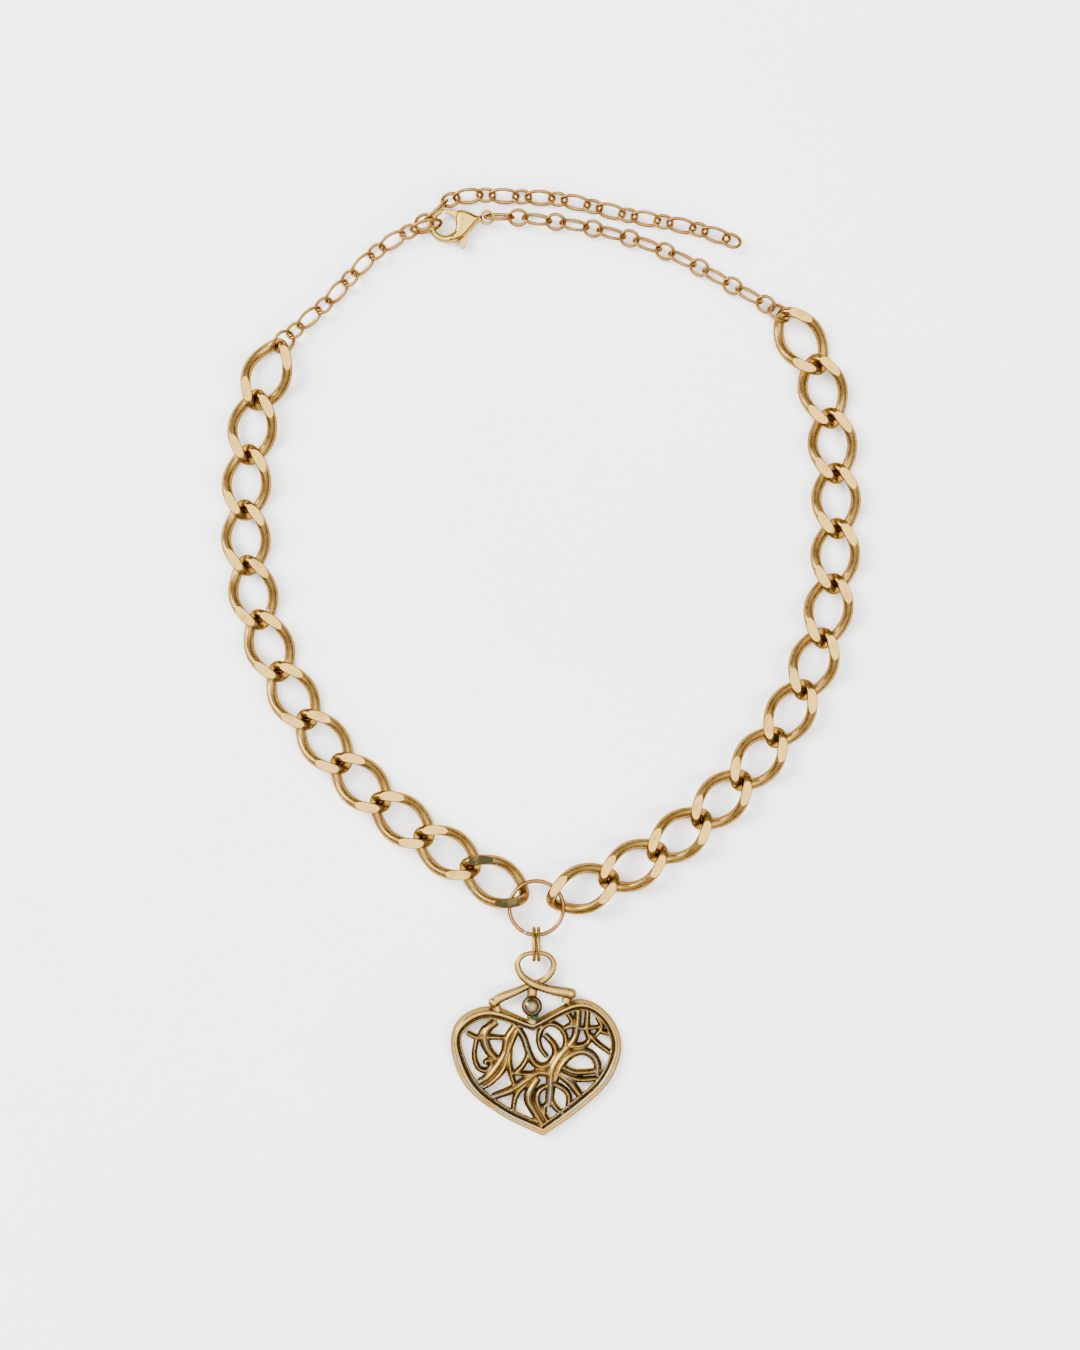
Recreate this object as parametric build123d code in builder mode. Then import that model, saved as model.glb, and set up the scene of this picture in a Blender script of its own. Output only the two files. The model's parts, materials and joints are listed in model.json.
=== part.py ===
from build123d import *
import os
from math import cos, pi, radians, sin

# A pendant necklace lying flat: a curb chain, a fine cable chain with its clasp and
# extender, and an openwork heart on two jump rings. Millimetres, +Z up, +Y to the clasp.

# The routes below are drawn about a point this far from the middle of the whole necklace
DRAWING_SHIFT = (-0.44, -0.74, 0.013)

# Curb chain: one twisted oval of round wire, cut flat on both faces
CURB_WIRE = 2.25
CURB_LENGTH_RADIUS = 7.21
CURB_WIDTH_RADIUS = 4.27
CURB_TWIST = 50.0
CURB_HALF_HEIGHT = 2.33
CURB_PATH_SPANS = 10
LEFT_CURB_STEP = 11.98
RIGHT_CURB_STEP = 11.94
LEFT_CURBS = 12
RIGHT_CURBS = 13

# Cable chain: long and short ovals by turns, tilted to either side
CABLE_WIRE = 0.75
LONG_RADII = (3.05, 1.83)
SHORT_RADII = (1.92, 1.75)
LONG_TILT = 50.0
SHORT_TILT = -32.0
EDGE_TILT = 66.0
LINK_PLAY = 0.13
TAIL_PLAY = 0.33
JOIN_RADIUS = 2.45
JOIN_TILT = 45.0

# Where the chains lie, from the centre ring outwards
LEFT_ROUTE = [
    (-4.4, -49.5, 2.33), (-24.6, -37.2, 2.33), (-42.9, -21.0, 2.33), (-56.9, 0.4, 2.33),
    (-63.3, 25.0, 2.33), (-62.5, 46.5, 2.33), (-56.2, 68.4, 2.2), (-45.6, 78.4, 1.85),
    (-36.3, 88.2, 1.85), (-30.2, 92.5, 1.85), (-26.2, 94.4, 1.65),
]
RIGHT_ROUTE = [
    (3.9, -50.4, 2.33), (26.2, -40.0, 2.33), (44.6, -23.8, 2.33), (58.2, -3.0, 2.33),
    (63.7, 19.0, 2.33), (63.9, 41.9, 2.33), (60.2, 63.8, 2.33), (54.2, 74.1, 2.1),
    (45.5, 79.8, 1.85), (31.1, 87.6, 1.85), (11.7, 94.2, 1.85), (-0.5, 96.2, 1.85),
    (-8.2, 96.75, 2.05), (-12.6, 96.7, 2.05),
]
TAIL_ROUTE = [
    (-25.65, 94.4, 3.0), (-24.0, 96.55, 2.42), (-20.2, 99.9, 2.1), (-7.1, 101.2, 1.85),
    (5.4, 100.4, 1.85), (17.7, 97.4, 1.85), (28.4, 95.4, 1.85), (42.6, 91.2, 1.85),
]

# The long link in the clasp's hook, which stands on edge and holds the extender too
HOOKED_RADII = (3.3, 2.15)
HOOKED_AT = (-24.3, 94.65, 2.38)
HOOKED_TURN = 15.0
HOOKED_TILT = 66.0
TAIL_START_TILTS = (-21.0, 97.0)

# Rings at the front
RING_CENTRE = (-0.54, -52.4)
RING_RADIUS = 5.83
RING_WIRE = 0.9
RING_SPLIT = 0.12
RING_SPLIT_AT = 245.0
JUMP_RADIUS = 3.4
JUMP_WIRE = 0.8
JUMP_SPACING = 0.97
JUMP_AT = -60.1

# Lobster clasp, in its own plane with the hook's centre at its origin
CLASP_AT = (-20.35, 95.1)
CLASP_TURN = 9.5
CLASP_HALF_HEIGHT = 1.5
CLASP_HEIGHT = 1.6
HOOK_RADIUS = 3.4
HOOK_HOLE_RADIUS = 2.3
HOOK_HALF_HEIGHT = 0.5
EYE_AT = 9.3
EYE_RADIUS = 1.62
EYE_HOLE_RADIUS = 1.08
EYE_HALF_HEIGHT = 0.42

# Lobster clasp: body cheeks either side of a slot, with a lever, a pin and a spring
BODY_OUTLINE = [
    (1.0, -2.6), (0.4, -3.3), (0.3, -4.0), (1.6, -4.15), (3.0, -3.85), (4.2, -3.1),
    (5.8, -1.9), (7.4, -0.5), (8.3, -0.45),
    (8.3, 0.45), (7.4, 0.5), (6.0, 1.6), (4.7, 2.3), (3.7, 2.5), (3.0, 2.4), (2.2, 1.0),
    (1.9, -1.3),
]
GATE_GAP = [(-0.6, 1.75), (0.55, 3.4), (0.6, 4.2), (3.0, 4.2), (2.9, 2.3), (2.2, 1.3)]
SLOT_HALF_HEIGHT = 0.55
SLOT_BACK = 5.45
SLOT_FRONT = (1.5, -1.6)
SLOT_MOUTH = (2.5, -6.0)
SLOT_MOUTH_DEPTH = 5.0
SLOT_REACH = 6.0
LEVER_HALF_HEIGHT = 0.45
LEVER_OUTLINE = [
    (0.6, 3.25), (1.7, 2.95), (2.8, 2.25), (4.3, 1.15), (4.85, -0.1), (4.3, -3.0),
    (3.7, -5.1), (2.9, -5.7), (2.4, -5.2), (3.05, -3.0), (3.15, 0.1), (2.2, 1.4),
    (1.4, 2.05), (0.5, 2.4),
]
THUMB_TAB = [(3.0, -4.15), (2.45, -5.2), (2.9, -5.7), (3.65, -5.1), (4.1, -3.65)]
TAB_HALF_HEIGHT = 0.75
PIVOT_AT = (4.0, 0.3)
PIN_RADIUS = 0.35
PIN_CLEARANCE = 0.05
SPRING_RADIUS = 0.35
SPRING_WIRE = 0.16
SPRING_AT = (4.9, -0.75)
SPRING_LENGTH = 0.85
SPRING_PITCH = 0.24
POCKET_LENGTH = 1.2
POCKET_WIDTH = 1.1

# Openwork heart, in its own plane with its origin at the middle of the heart
PENDANT_AT = (-0.65, -86.6)
RIM_HEIGHT = 2.6
LACE_FROM = 0.5
LACE_HEIGHT = 1.7
SCROLL_FROM = 1.4
SCROLL_HEIGHT = 1.8
BAIL_HEIGHT = 2.5
BAIL_WIRE = 1.0
BEAD_AT = (-0.85, 13.1)
BEAD_RADIUS = 2.25
BEAD_HEIGHT = 2.9
HEART_TIP = (1.5, -15.2)
HEART_NOTCH = (-0.65, 9.6)
HEART_LEFT = [(-9.8, 12.8), (-16.4, 10.3), (-18.4, 4.3), (-15.4, -4.3), (-7.8, -10.6)]
HEART_RIGHT = [(9.2, -9.9), (16.0, -3.3), (18.5, 4.3), (15.8, 11.0), (9.3, 14.3)]
INNER_TIP = (1.7, -12.4)
INNER_NOTCH = (-0.65, 7.6)
INNER_LEFT = [(-9.9, 10.2), (-14.9, 8.0), (-16.0, 4.3), (-12.6, -3.6), (-6.2, -8.8)]
INNER_RIGHT = [(8.0, -7.5), (13.6, -2.4), (16.2, 4.3), (13.9, 10.1), (8.8, 11.9)]
LACE = [
    (1.3, [(-8.4, 9.9), (-10.8, 7.1), (-11.0, 4.3), (-8.2, 0.9)]),
    (0.9, [(-15.9, 6.3), (-11.0, 6.4), (-6.7, 6.1)]),
    (0.9, [(-13.0, 6.2), (-13.2, 2.2), (-10.8, -0.9), (-8.6, 0.4)]),
    (1.1, [(-4.1, 10.4), (-6.3, 5.4), (-7.1, 2.2), (-8.2, -0.4), (-12.9, -3.8)]),
    (1.1, [(-4.3, 9.4), (-1.9, 6.9), (-0.7, 1.7), (1.1, -0.4), (3.9, 2.8), (1.9, 7.4)]),
    (1.3, [(6.3, 4.3), (4.5, 1.5), (3.5, -1.1), (3.0, -7.0), (1.8, -12.8)]),
    (1.0, [(6.2, 4.3), (7.9, 7.9), (9.3, 12.6)]),
    (0.9, [(6.1, 4.3), (5.9, 8.2), (6.5, 12.4)]),
    (0.9, [(6.6, 4.5), (11.2, 5.2), (16.8, 3.0)]),
    (0.8, [(7.5, 8.2), (11.2, 8.9), (15.3, 8.0)]),
    (0.9, [(4.5, 1.5), (9.0, 3.0), (13.4, 0.4), (9.3, -1.6), (4.0, -0.2)]),
    (1.1, [(3.4, -1.5), (-3.5, -3.9), (-10.0, -6.9)]),
    (0.9, [(-7.6, 0.6), (-5.2, -1.3), (3.2, -1.4)]),
    (0.9, [(0.3, -2.6), (-1.5, -8.0), (1.5, -12.9)]),
    (0.9, [(3.3, -3.4), (0.4, -7.6), (1.9, -10.6)]),
    (0.9, [(3.4, -3.0), (6.9, -6.4), (6.0, -10.3)]),
    (0.9, [(3.7, -0.9), (8.2, -4.6), (9.2, -8.0)]),
    (0.9, [(-1.9, -3.4), (-3.4, -6.6), (-5.4, -9.8)]),
]
LACE_EYES = [((-4.1, 2.2), (1.5, 3.8)), ((3.6, 5.0), (1.3, 3.4))]
LACE_EYE_WIDTH = 0.9
SCROLLS = [
    (1.7, [(-0.2, 17.6), (-4.2, 16.3), (-8.6, 14.9), (-8.9, 12.4)]),
    (1.7, [(-0.2, 17.6), (3.8, 17.4), (7.4, 16.3), (6.6, 13.2)]),
    (1.6, [(-0.2, 17.6), (-1.0, 13.4), (-0.7, 8.6)]),
]
BAIL_CORNER_RADIUS = 1.1
BAIL = [(-0.2, 17.6), (-4.3, 21.9), (-1.9, 24.65), (1.9, 24.65), (3.9, 22.2)]


def link_plane(start, end, tilt=0.0):
    """The plane of a link between two contacts, turned by tilt about its length."""
    along = (end - start).normalized()
    side = Vector(0, 0, 1).cross(along).normalized()
    up = along.cross(side)
    normal = up * cos(radians(tilt)) - side * sin(radians(tilt))
    return Plane(origin=(start + end) / 2, x_dir=along, z_dir=normal)


def contacts(route, steps):
    """Points along a smooth route, each one step after the last."""
    with BuildLine() as line:
        Spline(*route)
    path = line.edges()[0]
    reach = [sum(steps[:n]) for n in range(len(steps) + 1)]
    return [path.position_at(min(r / path.length, 1.0)) for r in reach]


def cable_step(radii, play=LINK_PLAY):
    return 2 * (radii[0] - CABLE_WIRE / 2) - play


LONG_STEP = cable_step(LONG_RADII)
SHORT_STEP = cable_step(SHORT_RADII)
JOIN_STEP = cable_step((JOIN_RADIUS, JOIN_RADIUS))
LEFT_STEPS = [LEFT_CURB_STEP] * LEFT_CURBS + [JOIN_STEP] + [SHORT_STEP, LONG_STEP] * 4
LEFT_STEPS += [SHORT_STEP]
RIGHT_STEPS = [RIGHT_CURB_STEP] * RIGHT_CURBS + [JOIN_STEP] + [SHORT_STEP, LONG_STEP] * 8
TAIL_SHORT_STEP = cable_step(SHORT_RADII, TAIL_PLAY)
TAIL_LONG_STEP = cable_step(LONG_RADII, TAIL_PLAY)
TAIL_STEPS = [TAIL_SHORT_STEP, TAIL_LONG_STEP] * 9 + [TAIL_SHORT_STEP]


def ring_plane(start, heading):
    """A plane square to a path of round wire at its start."""
    return Plane(origin=start, z_dir=heading)


def closed_wire(half_path, wire):
    """A closed loop of round wire from half of its path, which turned about Z is the rest."""
    with BuildPart() as loop:
        with BuildSketch(ring_plane(half_path @ 0, half_path % 0)):
            Circle(wire / 2)
        sweep(path=half_path)
        add(loop.part.rotate(Axis.Z, 180))
    return loop.part


def curb_link():
    """A twisted oval, with both faces of the chain cut flat."""

    def at(turn):
        lean = -radians(CURB_TWIST) * cos(turn)
        across = CURB_WIDTH_RADIUS * sin(turn)
        return Vector(CURB_LENGTH_RADIUS * cos(turn), across * cos(lean), across * sin(lean))

    def rate(turn):
        return (at(turn + 0.001) - at(turn - 0.001)) / 0.002

    # Half of the loop, with its end rates unscaled so that the two halves meet smoothly
    turns = [-pi / 2 + pi * n / CURB_PATH_SPANS for n in range(CURB_PATH_SPANS + 1)]
    half = Edge.make_spline(
        [at(turn) for turn in turns],
        tangents=[rate(turns[0]), rate(turns[-1])],
        parameters=turns,
        scale=False,
    )
    with BuildPart() as link:
        add(closed_wire(half, CURB_WIRE))
        split(bisect_by=Plane.XY.offset(CURB_HALF_HEIGHT), keep=Keep.BOTTOM)
        split(bisect_by=Plane.XY.offset(-CURB_HALF_HEIGHT), keep=Keep.TOP)
    return link.part


def cable_link(radii):
    """A plain oval of round wire, long along X."""
    with BuildLine() as path:
        EllipticalCenterArc((0, 0), *radii, start_angle=-90, arc_size=180)
    return closed_wire(path.edges()[0], CABLE_WIRE)


def save(piece, name):
    """Move a finished piece to the necklace's own origin, label it and write its STEP file."""
    piece = piece.moved(Location(DRAWING_SHIFT))
    piece.label = name
    export_step(piece, f"parts/{name}.step")


def placed(shapes_and_planes):
    """One node of separate links, each in its own plane."""
    with BuildPart() as node:
        for shape, plane in shapes_and_planes:
            with Locations(plane.location):
                add(shape)
    return node.part


def cable_planes(points, tilts):
    return [link_plane(points[n], points[n + 1], tilt) for n, tilt in enumerate(tilts)]


def level(points, curbs):
    """The same contacts, with those of the curb links at its mid height."""
    flat = [Vector(point.X, point.Y, CURB_HALF_HEIGHT) for point in points[:curbs + 1]]
    return flat + points[curbs + 1:]


def arm_layout():
    """The planes of every link of both arms, outwards from the centre ring."""
    left = level(contacts(LEFT_ROUTE, LEFT_STEPS), LEFT_CURBS)
    right = level(contacts(RIGHT_ROUTE, RIGHT_STEPS), RIGHT_CURBS)
    left_tilts = [0.0] * LEFT_CURBS + [JOIN_TILT] + [SHORT_TILT, LONG_TILT] * 4 + [SHORT_TILT]
    right_tilts = [0.0] * RIGHT_CURBS + [JOIN_TILT] + [SHORT_TILT, LONG_TILT] * 7
    right_tilts += [SHORT_TILT, EDGE_TILT]
    return cable_planes(left, left_tilts), cable_planes(right, right_tilts)


def tail_layout():
    """The planes of the extender's links, outwards from the hooked link."""
    tilts = list(TAIL_START_TILTS) + [SHORT_TILT, LONG_TILT] * 8 + [SHORT_TILT]
    return cable_planes(contacts(TAIL_ROUTE, TAIL_STEPS), tilts)


def hooked_plane():
    turn = radians(HOOKED_TURN)
    along = Vector(cos(turn), sin(turn), 0)
    middle = Vector(*HOOKED_AT)
    return link_plane(middle - along, middle + along, HOOKED_TILT)


def clasp_plane():
    turn = radians(CLASP_TURN)
    return Plane(origin=(*CLASP_AT, CLASP_HEIGHT), x_dir=(cos(turn), sin(turn), 0))


def pendant_plane(height=0.0):
    return Plane(origin=(*PENDANT_AT, height))


def save_chains():
    curb = curb_link()
    long_link = cable_link(LONG_RADII)
    short_link = cable_link(SHORT_RADII)
    join_link = cable_link((JOIN_RADIUS, JOIN_RADIUS))
    hooked_link = cable_link(HOOKED_RADII)
    left, right = arm_layout()
    tail = tail_layout()
    for side, planes, curbs in (("left", left, LEFT_CURBS), ("right", right, RIGHT_CURBS)):
        for n in range(curbs):
            save(placed([(curb, planes[n])]), f"curb_{side}_{n + 1:02d}")
        save(placed([(join_link, planes[curbs])]), f"join_ring_{side}")
        cable = planes[curbs + 1:]
        for n in range(len(cable) // 2):
            pair = [(short_link, cable[2 * n]), (long_link, cable[2 * n + 1])]
            save(placed(pair), f"cable_{side}_{n + 1}")
    save(placed([(short_link, left[-1])]), "cable_left_5")
    save(placed([(hooked_link, hooked_plane())]), "hooked_link")
    for n in range(len(tail) // 2):
        pair = [(short_link, tail[2 * n]), (long_link, tail[2 * n + 1])]
        save(placed(pair), f"extender_{n + 1}")
    save(placed([(short_link, tail[-1])]), "extender_end_ring")


def save_rings():
    with BuildPart() as centre_ring:
        with Locations((*RING_CENTRE, CURB_HALF_HEIGHT)):
            Torus(RING_RADIUS, RING_WIRE / 2)
            with PolarLocations(RING_RADIUS, 1, start_angle=RING_SPLIT_AT):
                Box(3 * RING_WIRE, RING_SPLIT, 3 * RING_WIRE, mode=Mode.SUBTRACT)
    save(centre_ring.part, "centre_ring")
    for name, side in (("jump_ring_left", -1), ("jump_ring_right", 1)):
        x = RING_CENTRE[0] + side * JUMP_SPACING / 2
        with BuildPart() as jump_ring:
            with Locations((x, JUMP_AT, JUMP_RADIUS + JUMP_WIRE / 2)):
                Torus(JUMP_RADIUS, JUMP_WIRE / 2, rotation=(0, 90, 0))
        save(jump_ring.part, name)


def heart_outline(notch, left, tip, right):
    """A heart of two curves that meet at the notch and the tip."""
    Spline(notch, *left, tip)
    Spline(tip, *right, notch)


def stroke(points, width):
    """A band of one width along a curve, rounded at its ends."""
    with BuildLine() as line:
        Spline(*points)
    trace(line.edges(), line_width=width)


def save_pendant():
    with BuildPart() as pendant_frame:
        with BuildSketch(pendant_plane()):
            with BuildLine():
                heart_outline(HEART_NOTCH, HEART_LEFT, HEART_TIP, HEART_RIGHT)
            make_face()
            with BuildLine():
                heart_outline(INNER_NOTCH, INNER_LEFT, INNER_TIP, INNER_RIGHT)
            make_face(mode=Mode.SUBTRACT)
        extrude(amount=RIM_HEIGHT)
        with BuildSketch(pendant_plane(LACE_FROM)):
            for middle, (across, up) in LACE_EYES:
                with Locations(middle):
                    Ellipse(across + LACE_EYE_WIDTH / 2, up + LACE_EYE_WIDTH / 2)
            for width, points in LACE:
                stroke(points, width)
            for middle, (across, up) in LACE_EYES:
                with Locations(middle):
                    hole = (across - LACE_EYE_WIDTH / 2, up - LACE_EYE_WIDTH / 2)
                    Ellipse(*hole, mode=Mode.SUBTRACT)
        extrude(amount=LACE_HEIGHT)
        with BuildSketch(pendant_plane(SCROLL_FROM)):
            for width, points in SCROLLS:
                stroke(points, width)
        extrude(amount=SCROLL_HEIGHT)
        with BuildLine(pendant_plane(BAIL_HEIGHT)) as bail:
            FilletPolyline(*BAIL, radius=BAIL_CORNER_RADIUS, close=True)
        with BuildSketch(ring_plane(bail.wires()[0] @ 0, bail.wires()[0] % 0)):
            Circle(BAIL_WIRE / 2)
        sweep(path=bail.wires()[0])
        with Locations((PENDANT_AT[0] + BEAD_AT[0], PENDANT_AT[1] + BEAD_AT[1], BEAD_HEIGHT)):
            Sphere(BEAD_RADIUS, mode=Mode.SUBTRACT)
    save(pendant_frame.part, "pendant_frame")
    with BuildPart() as pendant_bead:
        with Locations((PENDANT_AT[0] + BEAD_AT[0], PENDANT_AT[1] + BEAD_AT[1], BEAD_HEIGHT)):
            Sphere(BEAD_RADIUS)
    save(pendant_bead.part, "pendant_bead")


def save_clasp():
    plane = clasp_plane()
    with BuildPart() as clasp_body:
        with BuildSketch(plane):
            Circle(HOOK_RADIUS)
        extrude(amount=HOOK_HALF_HEIGHT, both=True)
        with BuildSketch(plane):
            Polygon(*BODY_OUTLINE, align=None)
        extrude(amount=CLASP_HALF_HEIGHT, both=True)
        with BuildSketch(plane):
            with Locations((EYE_AT, 0)):
                Circle(EYE_RADIUS)
        extrude(amount=EYE_HALF_HEIGHT, both=True)
        with BuildSketch(plane):
            Circle(HOOK_HOLE_RADIUS)
            Polygon(*GATE_GAP, align=None)
            with Locations((EYE_AT, 0)):
                Circle(EYE_HOLE_RADIUS)
            with Locations(PIVOT_AT):
                Circle(PIN_RADIUS)
        extrude(amount=CLASP_HALF_HEIGHT, both=True, mode=Mode.SUBTRACT)
        with BuildSketch(plane):
            with Locations(SLOT_FRONT):
                Rectangle(SLOT_BACK - SLOT_FRONT[0], SLOT_REACH, align=(Align.MIN, Align.MIN))
            with Locations(SLOT_MOUTH):
                Rectangle(SLOT_BACK - SLOT_MOUTH[0], SLOT_MOUTH_DEPTH, align=(Align.MIN, Align.MIN))
            with Locations(SPRING_AT):
                Rectangle(POCKET_LENGTH, POCKET_WIDTH, align=(Align.MIN, Align.CENTER))
        extrude(amount=SLOT_HALF_HEIGHT, both=True, mode=Mode.SUBTRACT)
    save(clasp_body.part, "clasp_body")

    with BuildPart() as clasp_lever:
        with BuildSketch(plane):
            Polygon(*LEVER_OUTLINE, align=None)
        extrude(amount=LEVER_HALF_HEIGHT, both=True)
        with BuildSketch(plane):
            Polygon(*THUMB_TAB, align=None)
        extrude(amount=TAB_HALF_HEIGHT, both=True)
        with BuildSketch(plane):
            with Locations(PIVOT_AT):
                Circle(PIN_RADIUS + PIN_CLEARANCE)
        extrude(amount=CLASP_HALF_HEIGHT, both=True, mode=Mode.SUBTRACT)
    save(clasp_lever.part, "clasp_lever")

    with BuildPart() as clasp_pin:
        with BuildSketch(plane):
            with Locations(PIVOT_AT):
                Circle(PIN_RADIUS)
        extrude(amount=CLASP_HALF_HEIGHT, both=True)
    save(clasp_pin.part, "clasp_pin")

    coil_start = plane.from_local_coords(Vector(*SPRING_AT, 0) + Vector(SPRING_WIRE, 0, 0))
    with BuildPart() as clasp_spring:
        with BuildLine() as coil:
            Helix(SPRING_PITCH, SPRING_LENGTH, SPRING_RADIUS, coil_start, plane.x_dir)
        with BuildSketch(ring_plane(coil.edges()[0] @ 0, coil.edges()[0] % 0)):
            Circle(SPRING_WIRE / 2)
        sweep(path=coil.edges()[0], is_frenet=True)
    save(clasp_spring.part, "clasp_spring")


def main():
    os.makedirs("parts", exist_ok=True)
    save_chains()
    save_rings()
    save_pendant()
    save_clasp()


if __name__ == "__main__":
    main()
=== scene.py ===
import json
from math import atan, cos, pi, radians, sin

import bpy
import numpy as np
from mathutils import Matrix, Vector

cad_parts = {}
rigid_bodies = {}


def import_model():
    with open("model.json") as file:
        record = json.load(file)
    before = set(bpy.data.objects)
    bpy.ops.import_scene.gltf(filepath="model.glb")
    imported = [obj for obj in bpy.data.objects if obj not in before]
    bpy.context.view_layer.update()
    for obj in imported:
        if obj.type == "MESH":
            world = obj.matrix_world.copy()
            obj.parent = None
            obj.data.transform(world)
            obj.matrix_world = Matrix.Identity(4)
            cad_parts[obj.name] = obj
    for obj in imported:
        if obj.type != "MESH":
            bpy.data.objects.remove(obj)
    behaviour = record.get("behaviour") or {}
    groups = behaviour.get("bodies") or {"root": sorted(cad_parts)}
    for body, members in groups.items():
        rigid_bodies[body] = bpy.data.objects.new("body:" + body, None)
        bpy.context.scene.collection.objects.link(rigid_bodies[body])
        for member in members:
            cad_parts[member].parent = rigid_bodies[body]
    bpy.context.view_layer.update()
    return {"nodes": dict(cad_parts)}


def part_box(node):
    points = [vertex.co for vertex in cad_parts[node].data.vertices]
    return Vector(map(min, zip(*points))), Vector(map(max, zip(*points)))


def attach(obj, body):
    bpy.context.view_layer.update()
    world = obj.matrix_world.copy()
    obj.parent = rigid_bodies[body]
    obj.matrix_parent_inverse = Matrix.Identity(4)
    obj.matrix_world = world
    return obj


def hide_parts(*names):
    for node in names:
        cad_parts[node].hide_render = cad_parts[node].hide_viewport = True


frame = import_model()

# A pendant necklace laid flat on a pale table and seen from straight above.
# The chains keep the frame's own links. The heart, the clasp and its lever are
# finished here as smooth metal in the places that the frame gives them.

MM = 0.001

# The camera and the table, in metres
VIEW_HEIGHT = 0.2923
VIEW_CENTRE = (-0.0002, -0.0029)
CAMERA_DISTANCE = 0.62
SENSOR_HEIGHT_MM = 36.0
TABLE_SIZE = 3.0

# The studio's brightness by height, from the horizon to straight above
SKY = [
    (0.0, (0.12, 0.10, 0.08)),
    (0.4, (0.30, 0.27, 0.23)),
    (0.72, (1.0, 0.97, 0.92)),
    (1.0, (2.9, 2.85, 2.75)),
]

# Each light's size and place in metres, its power in watts, and whether metal mirrors
# it. The broad panels light the table, and metal mirrors the sky and the window
LIGHTS = {
    "sky_panel": ((1.1, 1.1), (-0.2, 0.15, 1.0), 5.0, False),
    "key_panel": ((1.2, 1.2), (-1.1, 0.9, 1.3), 125.0, False),
    "fill_panel": ((1.2, 1.2), (1.2, -0.9, 1.3), 82.0, False),
    "window": ((0.4, 0.6), (-0.9, 0.35, 0.5), 7.0, True),
}

# How every metal here reflects at its edges, where plain metal would turn white
EDGE_TINT = (0.62, 0.40, 0.17)

# Each plate's colour where it is bright, where it has deepened, and of its grime and painted shade
CURB_PLATE = (0.64, 0.39, 0.11), (0.47, 0.27, 0.07), (0.17, 0.092, 0.026)
CABLE_PLATE = (0.72, 0.41, 0.11), (0.54, 0.28, 0.07), (0.17, 0.07, 0.02)
RING_PLATE = (0.60, 0.31, 0.10), (0.42, 0.19, 0.055), (0.11, 0.042, 0.015)
JUMP_PLATE = (0.76, 0.46, 0.09), (0.58, 0.32, 0.06), (0.18, 0.085, 0.02)
CLASP_PLATE = (0.96, 0.68, 0.16), (0.90, 0.58, 0.12), (0.28, 0.15, 0.04)
PIN_PLATE = (0.80, 0.55, 0.17), (0.66, 0.42, 0.11), (0.12, 0.07, 0.02)
BEAD_SILVER = (0.46, 0.35, 0.21), (0.32, 0.23, 0.12), (0.06, 0.045, 0.025)
SPRING_STEEL = (0.58, 0.57, 0.55), (0.42, 0.41, 0.40), (0.10, 0.09, 0.08)

# Pairs of colours that a surface wanders between
CURB_FACETS = (0.88, 0.56, 0.14), (0.70, 0.41, 0.09)
TARNISHED_FACETS = (0.05, 0.042, 0.018), (0.16, 0.11, 0.04)
HEART_GOLD = (0.82, 0.53, 0.16), (0.60, 0.37, 0.10)
# The heart's patina colours, which also paint the shade down its sides
HEART_PATINA_AND_SHADE = (0.10, 0.062, 0.026), (0.08, 0.066, 0.03)
VERDIGRIS = (0.006, 0.03, 0.012), (0.02, 0.06, 0.028)
BOARD = (0.90, 0.905, 0.90), (0.925, 0.93, 0.925)

# Painted shade darkens the plate on a wire's sides by the share just below. The band under it says
# how upright a surface is where that begins and ends, from 0 on edge to 1 facing straight up or
# down
FLANK_PAINTED_SHADE = 0.85
FLANK_SHADE_BAND = (0.45, 0.93)
FACET_BAND = (0.992, 0.998)
WIRE_SCRATCH_MM = 0.002

# The heart's plating is worn silvery below this y, over this fade and between these
# heights, in metres
HEART_SILVERY = (0.62, 0.52, 0.33)
WORN_BELOW = -0.076
WORN_FADE = 0.004
WORN_HEIGHTS = (0.0017, 0.0025)


# ---------------------------------------------------------------- materials

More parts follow.
